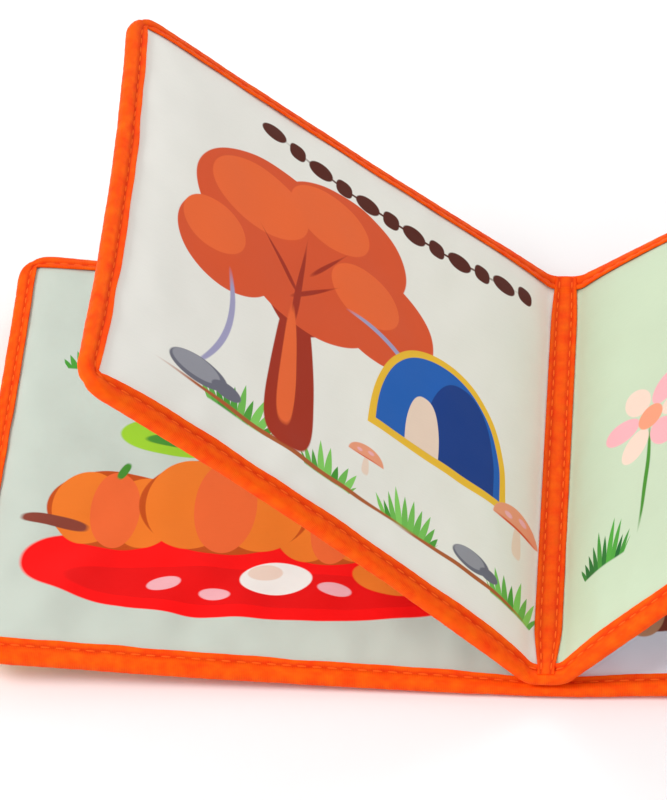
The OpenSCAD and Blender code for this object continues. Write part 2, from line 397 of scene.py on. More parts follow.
def tape_point(station: Station, t: float, layer: int, s: float) -> Vector:
    """A point of the folded tape.

    Args:
        station: The place on the leaf's edge.
        t: Place across the tape from the middle of its fold, in millimetres, above 0 on the top face.
        layer: 0 for the tape's inner side and 1 for its outer side.
        s: Place along the tape, in millimetres.

    Returns:
        The point in metres.
    """
    leaf, face = station.leaf, Face.TOP if t >= 0 else Face.UNDER
    q = abs(t) - TAPE.fold_arc
    dip = TAPE.groove * math.exp(-(((q - TAPE.seam_in) / TAPE.groove_width) ** 2))
    lip = TAPE.lip_thin if q >= TAPE.width - 0.01 else 0.0
    rise = layer * (TAPE.thickness - dip - lip)
    wave = 0.5 + 0.5 * math.sin(2 * math.pi * s / TAPE.stitch_pitch)
    drift = noise.noise(Vector((s / 17.0, t / 9.0, leaf.seed)))
    lump = noise.noise(Vector((s / 6.0, t / 5.0, leaf.seed + 9.0)))
    puffed = TAPE.ripple * wave + TAPE.drift * (1 + drift) + TAPE.lump * (1 + lump)
    rise += puffed * min(1.0, abs(q - TAPE.seam_in))
    corner = abs(abs(station.in_u) - abs(station.in_v))
    rise -= layer * TAPE.corner_fold * math.exp(-((corner / TAPE.corner_width) ** 2))
    if q >= 0:
        uneven = TAPE.uneven * noise.noise(Vector((s / 12.0, 3.0 * face.value, leaf.seed)))
        inward = q * (station.lip + uneven) / TAPE.width
        u, v = station.u + station.in_u * inward, station.v + station.in_v * inward
        return leaf.point(u, v, face, -TAPE.gap - rise)
    angle = math.pi / 2 * abs(t) / TAPE.fold_arc
    out = (TAPE.fold_gap + rise) * math.cos(angle)
    u, v = station.u - station.in_u * out, station.v - station.in_v * out
    lift = math.sin(angle) * (leaf.half(station.u, station.v) + TAPE.gap + rise)
    return leaf.point(u, v, face, leaf.half(u, v) - lift)


def thread(bm: bmesh.types.BMesh, start: Vector, end: Vector) -> None:
    """Adds one stitch's thread between two points."""
    axis = end - start
    radius = TAPE.thread_radius * MM
    shape = Matrix.Diagonal((axis.length / 2, radius, radius, 1.0))
    turn = axis.to_track_quat("X", "Z").to_matrix().to_4x4()
    matrix = Matrix.Translation((start + end) / 2) @ turn @ shape
    bmesh.ops.create_uvsphere(bm, u_segments=8, v_segments=6, radius=1.0, matrix=matrix)


def lengths(points: Sequence[Vector]) -> list[float]:
    """Running length along some points in metres, given in millimetres."""
    total, out = 0.0, [0.0]
    for before, after in zip(points, points[1:]):
        total += (after - before).length / MM
        out.append(total)
    return out


def seam_threads(bm: bmesh.types.BMesh, places: Sequence[Vector], margin: float = 1.0) -> int:
    """Adds a row of stitches along a line of points.

    Args:
        bm: The mesh that takes the threads.
        places: Points along the seam, in metres.
        margin: Length at each end without a stitch, in millimetres.

    Returns:
        The number of stitches.
    """
    along = lengths(places)

    def at(distance: float) -> Vector:
        """The point of the seam at a distance along it."""
        k = next((i for i, s in enumerate(along[1:]) if s >= distance), len(along) - 2)
        share = (distance - along[k]) / max(along[k + 1] - along[k], 1e-9)
        return places[k].lerp(places[k + 1], min(max(share, 0.0), 1.0))

    count = int((along[-1] - 2 * margin) / TAPE.stitch_pitch)
    start = (along[-1] - count * TAPE.stitch_pitch) / 2
    for i in range(count):
        first = start + i * TAPE.stitch_pitch + (TAPE.stitch_pitch - TAPE.stitch_length) / 2
        thread(bm, at(first), at(first + TAPE.stitch_length))
    return count


def srgb(red: int, green: int, blue: int) -> tuple[float, float, float, float]:
    """A colour from its screen values, as the linear colour that a shader takes."""
    def linear(value: int) -> float:
        """One channel."""
        c = value / 255
        return c / 12.92 if c <= 0.04045 else ((c + 0.055) / 1.055) ** 2.4

    return linear(red), linear(green), linear(blue), 1.0


@dataclass(frozen=True, eq=False)
class Signal:
    """A value in a node tree, in plain arithmetic whose steps become Math nodes."""

    graph: "Graph"
    socket: bpy.types.NodeSocket

    def __add__(self, other: object) -> "Signal":
        """The sum."""
        return self.graph.math("ADD", self, other)

    def __sub__(self, other: object) -> "Signal":
        """This value less the other."""
        return self.graph.math("SUBTRACT", self, other)

    def __rsub__(self, other: object) -> "Signal":
        """The other value less this one."""
        return self.graph.math("SUBTRACT", other, self)

    def __mul__(self, other: object) -> "Signal":
        """The product."""
        return self.graph.math("MULTIPLY", self, other)

    def __truediv__(self, other: object) -> "Signal":
        """This value over the other."""
        return self.graph.math("DIVIDE", self, other)

    def __rtruediv__(self, other: object) -> "Signal":
        """The other value over this one."""
        return self.graph.math("DIVIDE", other, self)

    def __pow__(self, other: object) -> "Signal":
        """This value to a power."""
        return self.graph.math("POWER", self, other)

    def __abs__(self) -> "Signal":
        """The value without its sign."""
        return self.graph.math("ABSOLUTE", self)

    __radd__ = __add__
    __rmul__ = __mul__


class Graph:
    """Adds nodes to a node tree and joins their sockets."""

    def __init__(self, tree: bpy.types.NodeTree) -> None:
        """Keeps the tree."""
        self.tree = tree

    def node(self, kind: str, **settings: object) -> bpy.types.Node:
        """Adds a node and sets its properties."""
        made = self.tree.nodes.new(kind)
        for name, value in settings.items():
            setattr(made, name, value)
        return made

    def feed(self, socket: bpy.types.NodeSocket, value: object) -> None:
        """Links a signal or a socket into a socket, or sets its value."""
        if isinstance(value, Signal):
            value = value.socket
        if isinstance(value, bpy.types.NodeSocket):
            self.tree.links.new(value, socket)
        else:
            socket.default_value = value

    def math(self, operation: str, *values: object, clamp: bool = False) -> Signal:
        """Adds a Math node and returns its result."""
        made = self.node("ShaderNodeMath", operation=operation, use_clamp=clamp)
        for socket, value in zip(made.inputs, values):
            self.feed(socket, value)
        return Signal(self, made.outputs[0])

    def noise(self, vector: object, scale: float, detail: float) -> Signal:
        """Adds a flat noise texture and returns its value."""
        made = self.node("ShaderNodeTexNoise", noise_dimensions="2D")
        for name, value in (("Vector", vector), ("Scale", scale), ("Detail", detail)):
            self.feed(made.inputs[name], value)
        return Signal(self, made.outputs[0])

    def mix(self, factor: object, first: object, second: object) -> bpy.types.NodeSocket:
        """Mixes two colours and returns the result."""
        made = self.node("ShaderNodeMix", data_type="RGBA", clamp_factor=True)
        self.feed(made.inputs["Factor"], factor)
        colours = [s for s in made.inputs if s.type == "RGBA"]
        self.feed(colours[0], first)
        self.feed(colours[1], second)
        return next(s for s in made.outputs if s.type == "RGBA")

    def apart(self, vector: object) -> tuple[Signal, Signal]:
        """Splits a vector and returns its X and Y."""
        made = self.node("ShaderNodeSeparateXYZ")
        self.feed(made.inputs[0], vector)
        return Signal(self, made.outputs[0]), Signal(self, made.outputs[1])

    def group(self, tree: bpy.types.NodeTree, **values: object) -> bpy.types.Node:
        """Places a node group, with underscores in the names for their spaces."""
        made = self.node("ShaderNodeGroup", node_tree=tree)
        for name, value in values.items():
            self.feed(made.inputs[name.replace("_", " ")], value)
        return made

    def give(self, **values: object) -> bpy.types.NodeTree:
        """Feeds the outputs of a group and returns its tree."""
        out = self.node("NodeGroupOutput").inputs
        for name, value in values.items():
            self.feed(out[name], value)
        return self.tree


FLOAT, VECTOR, COLOUR = "NodeSocketFloat", "NodeSocketVector", "NodeSocketColor"
# Width over which a printed shape's edge fades, in units of 100 mm
INK_EDGE = 0.003


def new_group(
    name: str, floats: dict[str, float], outputs: dict[str, str], colours: Sequence[str] = ()
) -> tuple[Graph, dict[str, Signal]]:
    """Starts a shader node group that takes a vector and some named values.

    Args:
        name: The group's name.
        floats: Name and default value of each number that it takes.
        outputs: Name and socket type of each output.
        colours: Name of each colour that it takes.

    Returns:
        The group's graph, and what it is given by name.
    """
    tree = bpy.data.node_groups.new(name, "ShaderNodeTree")
    kinds = {"Vector": VECTOR} | dict.fromkeys(colours, COLOUR) | dict.fromkeys(floats, FLOAT)
    for title, kind in kinds.items():
        socket = tree.interface.new_socket(title, in_out="INPUT", socket_type=kind)
        if kind == FLOAT:
            socket.default_value = floats[title]
    for title, kind in outputs.items():
        tree.interface.new_socket(title, in_out="OUTPUT", socket_type=kind)
    g = Graph(tree)
    given = g.node("NodeGroupInput").outputs
    return g, {title: Signal(g, given[title]) for title in kinds}


class Effects:
    """The shader node groups that the materials share."""

    def __init__(self) -> None:
        """Builds every group once."""
        self.patch = self.patch_group()
        self.tuft = self.tuft_group()
        self.weave = self.weave_group()
        self.ribs = self.ribs_group()
        self.wear = self.wear_group()

    def patch_group(self) -> bpy.types.NodeTree:
        """A printed patch: an ellipse or rounded bar that can turn, bend, taper and be cut straight."""
        sizes = {
            "Centre X": 0.0, "Centre Y": 0.0, "Length": 0.1, "Width": 0.1, "Turn": 0.0, "Bend": 0.0,
            "Taper": 0.0, "Power": 2.0, "Cut": -9.0,
        }
        g, given = new_group("Print patch", sizes, {"Mask": FLOAT})
        x, y = g.apart(given["Vector"])
        dx, dy = x - given["Centre X"], y - given["Centre Y"]
        cosine, sine = g.math("COSINE", given["Turn"]), g.math("SINE", given["Turn"])
        along, across = dx * cosine + dy * sine, dy * cosine - dx * sine
        share, power = along / given["Length"], given["Power"]
        level = across - given["Bend"] * (share * share)
        narrow = 1.0 - g.math("MINIMUM", share, 1.0) * given["Taper"]
        width = given["Width"] * g.math("MAXIMUM", narrow, 0.02)
        radius = (abs(share) ** power + abs(level / width) ** power) ** (1.0 / power)
        inside = g.math("MULTIPLY", (1.0 - radius) * (width / INK_EDGE), 1.0, clamp=True)
        kept = g.math("DIVIDE", level - given["Cut"] * given["Width"], INK_EDGE, clamp=True)
        return g.give(Mask=inside * kept)

    def tuft_group(self) -> bpy.types.NodeTree:
        """A printed tuft of grass whose blades fan out from its base."""
        sizes = {
            "Centre X": 0.0, "Base Y": 0.0, "Half Width": 0.1, "Height": 0.1, "Blades": 6.0, "Seed": 0.0,
        }
        g, given = new_group("Print tuft", sizes, {"Mask": FLOAT, "Shade": FLOAT})
        x, y = g.apart(given["Vector"])
        up = (y - given["Base Y"]) / given["Height"]
        side = (x - given["Centre X"]) / given["Half Width"]
        fan = side / (0.62 + up * 0.55)
        row = fan * given["Blades"] + given["Seed"]
        tooth = 1.0 - abs(g.math("FRACT", row) * 2.0 - 1.0)
        draw = g.node("ShaderNodeTexWhiteNoise", noise_dimensions="1D")
        g.feed(draw.inputs["W"], g.math("FLOOR", row))
        chance = Signal(g, draw.outputs["Value"])
        tall, dome = 0.55 + chance * 0.45, 1.0 - fan * fan * 0.62
        top = (0.26 + tooth ** 0.8 * 0.74) * (tall * dome)
        steep = given["Height"] / (2 * INK_EDGE)
        under = g.math("MULTIPLY", top - up, steep, clamp=True)
        over = g.math("MULTIPLY", up + 0.05, steep, clamp=True)
        within = g.math("LESS_THAN", abs(fan), 1.0)
        return g.give(Mask=under * over * within, Shade=chance)

    def weave_group(self) -> bpy.types.NodeTree:
        """A fine plain weave with slubs, for the page cloth."""
        g, given = new_group("Plain weave", {"Pitch": 0.005, "Slub": 0.3}, {"Height": FLOAT, "Tint": FLOAT})
        x, y = g.apart(given["Vector"])
        turn = math.pi / given["Pitch"]
        warp, weft = g.math("SINE", x * turn), g.math("SINE", y * turn)
        cross, ridge = warp * weft, g.math("MAXIMUM", abs(warp), abs(weft))
        stretched = g.node("ShaderNodeMapping")
        g.feed(stretched.inputs["Vector"], given["Vector"])
        stretched.inputs["Scale"].default_value = (30.0, 260.0, 1.0)
        uneven = (g.noise(stretched.outputs[0], 1.0, 3.0) - 0.5) * given["Slub"]
        return g.give(Height=(cross + ridge) * 0.5 + uneven, Tint=cross * 0.25 + uneven)

    def ribs_group(self) -> bpy.types.NodeTree:
        """Fine ribs across a tape, with a broken twill between them."""
        g, given = new_group("Tape ribs", {"Pitch": 0.007}, {"Height": FLOAT, "Tint": FLOAT})
        x, y = g.apart(given["Vector"])
        turn, wobble = 2 * math.pi / given["Pitch"], g.noise(given["Vector"], 40.0, 4.0)
        rib, twill = g.math("SINE", x * turn + wobble * 3.0), g.math("SINE", (x + y) * turn)
        return g.give(Height=rib * 0.6 + twill * 0.3, Tint=rib * 0.3 + (wobble - 0.5))

    def wear_group(self) -> bpy.types.NodeTree:
        """Uneven dye and handling, as a soft change of brightness."""
        outputs = {"Colour": COLOUR, "Roughness": FLOAT}
        g, given = new_group("Cloth wear", {"Amount": 0.1, "Tint": 0.0}, outputs, ("Colour",))
        broad = g.noise(given["Vector"], 3.5, 5.0)
        scaled = g.node("ShaderNodeVectorMath", operation="SCALE")
        g.feed(scaled.inputs[0], given["Colour"])
        g.feed(scaled.inputs["Scale"], 1.0 + (broad - 0.5 + given["Tint"]) * given["Amount"])
        return g.give(Colour=scaled.outputs[0], Roughness=0.55 + broad * 0.22)


class FabricShader:
    """A fabric's material while its nodes are added."""

    def __init__(self, name: str, specular: float) -> None:
        """Starts the material with its shader and the flat cloth's coordinates."""
        self.material = bpy.data.materials.new(name)
        self.material.use_nodes = True
        self.graph = Graph(self.material.node_tree)
        self.shader = self.material.node_tree.nodes["Principled BSDF"]
        self.shader.inputs["Specular IOR Level"].default_value = specular
        self.flat = self.graph.node("ShaderNodeUVMap", uv_map="flat").outputs[0]

    def close(self, worn: bpy.types.Node, relief: object, strength: float, depth: float) -> None:
        """Feeds the shader.

        Args:
            worn: The placed wear group, with the colour and the roughness.
            relief: Height of the threads.
            strength: Strength of the bump.
            depth: Depth of the bump in millimetres.
        """
        bump = self.graph.node("ShaderNodeBump")
        bump.inputs["Strength"].default_value = strength
        bump.inputs["Distance"].default_value = depth * MM
        self.graph.feed(bump.inputs["Height"], relief)
        into = self.shader.inputs
        self.graph.feed(into["Base Color"], worn.outputs["Colour"])
        self.graph.feed(into["Roughness"], worn.outputs["Roughness"])
        self.graph.feed(into["Normal"], bump.outputs[0])


@dataclass(frozen=True)
class Patch:
    """One printed patch, in units of 100 mm on the page, with its turn in degrees."""

    colour: tuple[float, float, float, float]
    x: float
    y: float
    length: float
    width: float
    turn: float = 0.0
    bend: float = 0.0
    taper: float = 0.0
    power: float = 2.0
    cut: float = -9.0


@dataclass(frozen=True)
class Tuft:
    """One printed tuft of grass, in units of 100 mm on the page."""

    x: float
    y: float
    width: float
    height: float
    blades: float = 5.0
    seed: float = 0.0
    dark: tuple[float, float, float, float] = srgb(64, 150, 44)
    light: tuple[float, float, float, float] = srgb(138, 214, 100)


TERRACOTTA = srgb(222, 84, 40)
ORANGE_RED = srgb(240, 104, 48)
DEEP_RUST = srgb(166, 44, 16)
DARK_BROWN = srgb(84, 26, 10)
SALMON = srgb(240, 158, 124)
PINK = srgb(244, 178, 184)
BEIGE = srgb(240, 214, 196)
WHITE = srgb(247, 243, 236)
NAVY = srgb(10, 58, 138)
BLUE = srgb(24, 96, 186)
YELLOW = srgb(240, 190, 50)
LAVENDER = srgb(164, 160, 196)
STONE = srgb(150, 150, 160)
STONE_DARK = srgb(108, 108, 122)
RED = srgb(255, 0, 0)
PUMPKIN = srgb(240, 122, 34)
PUMPKIN_DARK = srgb(196, 76, 12)
LIME = srgb(156, 206, 44)
LEAF_GREEN = srgb(70, 142, 44)
ROSEWOOD = srgb(136, 62, 46)


def stones(x: float, y: float, size: float) -> list[Patch]:
    """A pair of printed stones with a shaded foot."""
    return [
        Patch(STONE_DARK, x, y, 1.15 * size, 0.62 * size),
        Patch(STONE, x - 0.1 * size, y + 0.1 * size, 0.95 * size, 0.5 * size),
        Patch(STONE_DARK, x + 1.1 * size, y - 0.18 * size, 0.6 * size, 0.36 * size),
    ]


def garland(start: float, end: float, y: float, sag: float, count: int) -> list[Patch]:
    """A hanging row of dark beads and leaves."""
    middle, half = (start + end) / 2, (end - start) / 2
    row = [Patch(DARK_BROWN, middle, y - sag, half, 0.006, bend=sag, power=6.0)]
    for i in range(count):
        share = 2 * i / (count - 1) - 1
        size = 0.03 if i % 2 else 0.044
        drop = y - sag * (1 - share**2)
        row.append(Patch(DARK_BROWN, middle + half * share, drop, size, 0.034, power=2.6 if i % 2 else 2.0))
    return row


def tree() -> list[Patch]:
    """A broad tree in autumn colours on a forked trunk."""
    crown = [
        (-1.06, 0.24, 0.27, 0.22), (-0.82, 0.33, 0.23, 0.19), (-1.2, 0.02, 0.17, 0.17),
        (-0.68, 0.12, 0.2, 0.18), (-0.93, 0.08, 0.25, 0.2),
    ]
    trunk = [
        Patch(DEEP_RUST, -0.95, -0.3, 0.3, 0.075, turn=92, taper=0.35, power=3.0),
        Patch(DEEP_RUST, -0.83, 0.0, 0.18, 0.035, turn=52, power=2.4),
        Patch(DEEP_RUST, -1.06, -0.02, 0.17, 0.032, turn=124, power=2.4),
        Patch(ORANGE_RED, -0.965, -0.28, 0.24, 0.028, turn=92, taper=0.4, power=2.6),
    ]
    leaves = [Patch(TERRACOTTA, *spot) for spot in crown]
    shine = [Patch(ORANGE_RED, x - 0.05, y + 0.05, 0.62 * a, 0.58 * b) for x, y, a, b in crown[:4]]
    twigs = [
        Patch(DEEP_RUST, -0.955, 0.06, 0.2, 0.011, turn=86, taper=0.7),
        Patch(DEEP_RUST, -0.9, 0.06, 0.12, 0.008, turn=44, taper=0.7),
        Patch(DEEP_RUST, -1.03, 0.1, 0.13, 0.008, turn=128, taper=0.7),
        Patch(DEEP_RUST, -0.86, 0.2, 0.12, 0.007, turn=56, taper=0.7),
    ]
    return trunk[:3] + leaves + shine + twigs + trunk[3:]


def tent() -> list[Patch]:
    """A round blue tent with a yellow edge."""
    return [
        Patch(YELLOW, -0.44, -0.3, 0.25, 0.42, power=2.2, cut=0.0),
        Patch(BLUE, -0.44, -0.27, 0.225, 0.365, power=2.2, cut=0.0),
        Patch(NAVY, -0.37, -0.27, 0.13, 0.33, power=2.2, cut=0.0),
        Patch(YELLOW, -0.44, -0.28, 0.24, 0.013, power=4.0),
        Patch(BEIGE, -0.5, -0.27, 0.06, 0.2, power=2.4, cut=0.0),
    ]


def toadstool(x: float, y: float, size: float) -> list[Patch]:
    """A salmon toadstool with pale spots."""
    return [
        Patch(BEIGE, x, y - 0.45 * size, 0.62 * size, 0.2 * size, turn=90, taper=0.3, power=3.0),
        Patch(SALMON, x, y, size, 0.8 * size, cut=0.0),
        Patch(TERRACOTTA, x, y + 0.04 * size, 0.98 * size, 0.06 * size, power=4.0),
        Patch(PINK, x - 0.38 * size, y + 0.32 * size, 0.17 * size, 0.12 * size),
        Patch(PINK, x + 0.22 * size, y + 0.46 * size, 0.2 * size, 0.13 * size),
    ]


def pumpkin(x: float, y: float, size: float) -> list[Patch]:
    """A round pumpkin with darker ribs and a stalk."""
    return [
        Patch(PUMPKIN_DARK, x, y, size, 0.76 * size),
        Patch(PUMPKIN, x - 0.4 * size, y, 0.52 * size, 0.7 * size),
        Patch(PUMPKIN, x + 0.42 * size, y, 0.5 * size, 0.68 * size),
        Patch(ORANGE_RED, x, y, 0.36 * size, 0.74 * size),
        Patch(LEAF_GREEN, x + 0.05 * size, y + 0.78 * size, 0.2 * size, 0.07 * size, turn=70, power=2.6),
    ]


def cream_print() -> tuple[list[Patch], list[Tuft]]:
    """The left inner page: a tree, a tent and toadstools on a strip of ground."""
    rope = [
        Patch(LAVENDER, -0.62, 0.04, 0.17, 0.011, turn=-28, bend=-0.05, power=3.0),
        Patch(LAVENDER, -1.17, -0.3, 0.24, 0.011, turn=80, bend=0.06, power=3.0),
    ]
    ground = [
        Patch(srgb(176, 92, 44), -0.92, -0.6, 0.46, 0.011, turn=-2, bend=0.02),
        Patch(srgb(176, 92, 44), -0.32, -0.6, 0.26, 0.01, bend=-0.01),
    ]
    patches = ground + tree() + rope + tent() + toadstool(-0.14, -0.32, 0.1) + toadstool(-0.68, -0.44, 0.062)
    patches += stones(-1.24, -0.52, 0.085) + stones(-0.3, -0.55, 0.06) + garland(-1.08, -0.16, 0.6, 0.06, 12)
    tufts = [
        Tuft(-1.1, -0.6, 0.17, 0.17, 5, 0.2), Tuft(-0.8, -0.61, 0.13, 0.14, 4, 3.4),
        Tuft(-0.52, -0.6, 0.15, 0.15, 5, 8.1), Tuft(-0.14, -0.61, 0.14, 0.14, 4, 12.7),
    ]
    return patches, tufts


def meadow_print() -> tuple[list[Patch], list[Tuft]]:
    """The right inner page: pink flowers and grass."""
    patches = []
    for x, y, size in ((0.36, -0.02, 0.1), (0.72, 0.12, 0.13), (1.08, -0.04, 0.11)):
        stalk_y, bend = y - 2.3 * size, 0.1 * size
        patches.append(Patch(LEAF_GREEN, x, stalk_y, 2.2 * size, 0.09 * size, turn=88, bend=bend))
        for k in range(6):
            petal_x, petal_y = x + size * math.cos(1.047 * k), y + size * math.sin(1.047 * k)
            colour = PINK if k % 2 else BEIGE
            patches.append(Patch(colour, petal_x, petal_y, 0.62 * size, 0.44 * size, turn=60.0 * k))
        patches.append(Patch(SALMON, x, y, 0.45 * size, 0.45 * size))
    patches += stones(0.9, -0.5, 0.07)
    tufts = [
        Tuft(0.22, -0.5, 0.13, 0.17, 5, 1.3, srgb(30, 104, 44), srgb(84, 172, 62)),
        Tuft(0.62, -0.52, 0.16, 0.16, 5, 5.9), Tuft(1.16, -0.52, 0.15, 0.15, 5, 9.2),
    ]
    return patches, tufts


def patch_print() -> tuple[list[Patch], list[Tuft]]:
    """The front cover's inside page: pumpkins on a red cloth by a round bush."""
    patches = [
        Patch(LIME, -1.02, 0.06, 0.2, 0.085),
        Patch(LEAF_GREEN, -1.02, 0.04, 0.13, 0.03),
        Patch(RED, -0.82, -0.45, 0.62, 0.165, power=2.3),
        Patch(srgb(236, 0, 0), -0.82, -0.5, 0.5, 0.07, power=2.3),
    ]
    patches += pumpkin(-1.2, -0.24, 0.19) + pumpkin(-0.6, -0.27, 0.17) + pumpkin(-0.9, -0.2, 0.24)
    patches += [
        Patch(WHITE, -0.74, -0.46, 0.1, 0.062, turn=8), Patch(BEIGE, -0.77, -0.44, 0.05, 0.03, turn=8),
        Patch(PINK, -1.04, -0.5, 0.05, 0.026, turn=20), Patch(PINK, -0.58, -0.49, 0.05, 0.024, turn=-12),
        Patch(PINK, -0.9, -0.53, 0.045, 0.022), Patch(PUMPKIN, -0.44, -0.44, 0.1, 0.06, turn=-14),
        Patch(ROSEWOOD, -1.36, -0.3, 0.1, 0.022, turn=-8, power=3.0),
    ]
    tufts = [Tuft(-0.3, -0.2, 0.13, 0.14, 4, 4.4), Tuft(-1.3, 0.3, 0.15, 0.15, 5, 2.2)]
    return patches, tufts


def log_print() -> tuple[list[Patch], list[Tuft]]:
    """The back cover's inside page: a log among grass."""
    patches = [
        Patch(ROSEWOOD, 0.62, -0.42, 0.46, 0.12, turn=12, power=3.6),
        Patch(srgb(206, 150, 112), 0.24, -0.5, 0.115, 0.07, turn=100),
        Patch(ROSEWOOD, 0.24, -0.5, 0.07, 0.04, turn=100),
        Patch(srgb(206, 150, 112), 0.24, -0.5, 0.045, 0.024, turn=100),
    ] + toadstool(0.92, -0.14, 0.1)
    return patches, [Tuft(0.45, -0.62, 0.15, 0.14, 5, 6.1), Tuft(1.12, -0.6, 0.15, 0.15, 5, 7.7)]


@dataclass(frozen=True)
class ClothFinish:
    """A page cloth: its ground colour and its print."""

    name: str
    ground: tuple[float, float, float, float]
    patches: tuple[Patch, ...] = ()
    tufts: tuple[Tuft, ...] = ()

    def material(self, effects: Effects) -> bpy.types.Material:
        """Builds the cloth's material.

        Args:
            effects: The shared node groups.

        Returns:
            The material.
        """
        fabric = FabricShader(self.name, specular=0.18)
        g, flat = fabric.graph, fabric.flat
        colour: object = self.ground
        for tuft in self.tufts:
            placed = g.group(effects.tuft, Vector=flat, Centre_X=tuft.x, Base_Y=tuft.y, Half_Width=tuft.width,
                             Height=tuft.height, Blades=tuft.blades, Seed=tuft.seed)
            blade = g.mix(placed.outputs["Shade"], tuft.dark, tuft.light)
            colour = g.mix(placed.outputs["Mask"], colour, blade)
        for patch in self.patches:
            placed = g.group(effects.patch, Vector=flat, Centre_X=patch.x, Centre_Y=patch.y,
                             Length=patch.length, Width=patch.width, Turn=math.radians(patch.turn),
                             Bend=patch.bend, Taper=patch.taper, Power=patch.power, Cut=patch.cut)
            colour = g.mix(placed.outputs["Mask"], colour, patch.colour)
        weave = g.group(effects.weave, Vector=flat, Pitch=0.0031, Slub=0.5)
        worn = g.group(effects.wear, Vector=flat, Colour=colour, Amount=0.07, Tint=weave.outputs["Tint"])
        fabric.close(worn, weave.outputs["Height"], strength=0.1, depth=0.08)
        fabric.shader.inputs["Sheen Weight"].default_value = 0.04
        fabric.shader.inputs["Sheen Roughness"].default_value = 0.4
        return fabric.material


@dataclass(frozen=True)
class TapeFinish:
    """The orange tape, or the thread in it."""

    name: str
    colour: tuple[float, float, float, float]
    shade: tuple[float, float, float, float]
    # dark is the colour that the painted shade beside the stitches darkens the tape towards
    dark: tuple[float, float, float, float]
    rib_pitch: float
    bump: float
    # How far the painted shade beside the stitches darkens the tape, from 0 to 1
    painted_groove_darkening: float = 0.0
    cloud: float = 1.4

    def material(self, effects: Effects) -> bpy.types.Material:
        """Builds the tape's material.

        Args:
            effects: The shared node groups.

        Returns:
            The material.
        """
        fabric = FabricShader(self.name, specular=0.1)
        g, flat = fabric.graph, fabric.flat
        ribs = g.group(effects.ribs, Vector=flat, Pitch=self.rib_pitch)
        tint = Signal(g, ribs.outputs["Tint"])
        cloudy = (g.noise(flat, 22.0, 3.0) - 0.5) * self.cloud
        lit = g.math("ADD", 0.6 + cloudy, tint * 0.3, clamp=True)
        # Painted shade: beside each row of stitches the tape's colour is darkened towards dark, by the seam
        # weight
        seam = Signal(g, g.node("ShaderNodeAttribute", attribute_name="seam").outputs["Fac"])
        tone = g.mix(seam * self.painted_groove_darkening, g.mix(lit, self.shade, self.colour), self.dark)
        worn = g.group(effects.wear, Vector=flat, Colour=tone, Amount=0.16, Tint=tint)
        fabric.close(worn, ribs.outputs["Height"], strength=self.bump, depth=0.15)
        return fabric.material


@dataclass
class Wardrobe:
    """Every material of the book."""

    effects: Effects = field(default_factory=Effects)
    tape: bpy.types.Material = field(init=False)
    thread: bpy.types.Material = field(init=False)
    cloths: dict[str, bpy.types.Material] = field(init=False)

    def __post_init__(self) -> None:
        """Builds the materials."""
        # dark is the painted shade in the groove beside the stitches; the tape takes 0.6 of it, the thread
        # none
        dark = srgb(208, 30, 0)
        tape = TapeFinish("orange_tape", srgb(255, 100, 4), srgb(252, 58, 0), dark, 0.0046, 0.16, 0.6)
        thread_finish = TapeFinish("orange_thread", srgb(255, 112, 34), srgb(240, 76, 8), dark, 0.006, 0.3)
        self.tape, self.thread = tape.material(self.effects), thread_finish.material(self.effects)
        cloths = [
            ClothFinish("cream_cloth", srgb(238, 236, 229), *map(tuple, cream_print())),
            ClothFinish("pale_green_cloth", srgb(200, 217, 188), *map(tuple, meadow_print())),
            ClothFinish("grey_green_cloth", srgb(199, 208, 196), *map(tuple, patch_print())),
            ClothFinish("lilac_cloth", srgb(236, 238, 246), *map(tuple, log_print())),
            ClothFinish("under_cloth", srgb(214, 224, 230)),
            ClothFinish("outside_cloth", srgb(242, 222, 168)),
        ]
        self.cloths = {cloth.name: cloth.material(self.effects) for cloth in cloths}


@dataclass
class PaddedSheet:
    """The padded pages of one leaf or of two leaves that meet in the gutter."""

    name: str
    leaves: dict[int, Leaf]
    slots: Sequence[bpy.types.Material]
    step: float = 1.3
    inset: float = 0.2

    def columns(self, side: int) -> list[float]:
        """Distances out from the gutter's middle on one side, at v = 0."""
        leaf = self.leaves[side]
        start = leaf.gutter_u(0.0)
        near = spaced(0.0, leaf.round_off - start, 0.8)
        far = spaced(leaf.round_off - start, leaf.width - start, self.step)
        return near + far[1:]

    def cloth_place(self, across: float, v: float, layer: int) -> Vector:
        """The cloth's point at a distance across the sheet and a place along the spine."""
        side = -1 if across < 0 else 1
        leaf = self.leaves[side] if len(self.leaves) == 2 else next(iter(self.leaves.values()))
        nominal, real = leaf.gutter_u(0.0), leaf.gutter_u(v)
        u = abs(across) + nominal
        if u < leaf.round_off:
            share = abs(across) / (leaf.round_off - nominal)
            u = real + share * (leaf.round_off - real)
        start = leaf.width - leaf.run
        if u > start:
            u = start + (u - start) * (leaf.reach(v) - self.inset - start) / leaf.run
        v *= 1 - 2 * self.inset / leaf.height
        face = Face.TOP if layer else Face.UNDER
        return leaf.point(u, v, face, -leaf.crumple(u, v, face))

    def build(self) -> bpy.types.Object:
        """Builds the sheet as a closed padded shell."""
        sides = sorted(self.leaves)
        left = [-c for c in reversed(self.columns(-1))] if -1 in sides else [0.0]
        right = self.columns(1) if 1 in sides else [0.0]
        across = left + right[1:] if len(sides) == 2 else (left if -1 in sides else right)
        height = self.leaves[sides[0]].height
        along = spaced(-height / 2, height / 2, self.step)
        bm = index_block(len(across) - 1, len(along) - 1)
        middle = len(left) - 1 if len(sides) == 2 else -1

        def dress(i: float, _j: float, layer: float) -> int:
            """Top cloths first, then the under cloths, from left to right."""
            right_side = 1 if len(sides) == 2 and i > middle else 0
            return right_side + (0 if layer > 0.75 else len(sides))

        lay_out(
            bm,
            lambda i, j: (across[i], along[j]),
            lambda i, j, k: self.cloth_place(across[i], along[j], k),
            dress,
        )
        return finished(bm, self.name, self.slots)


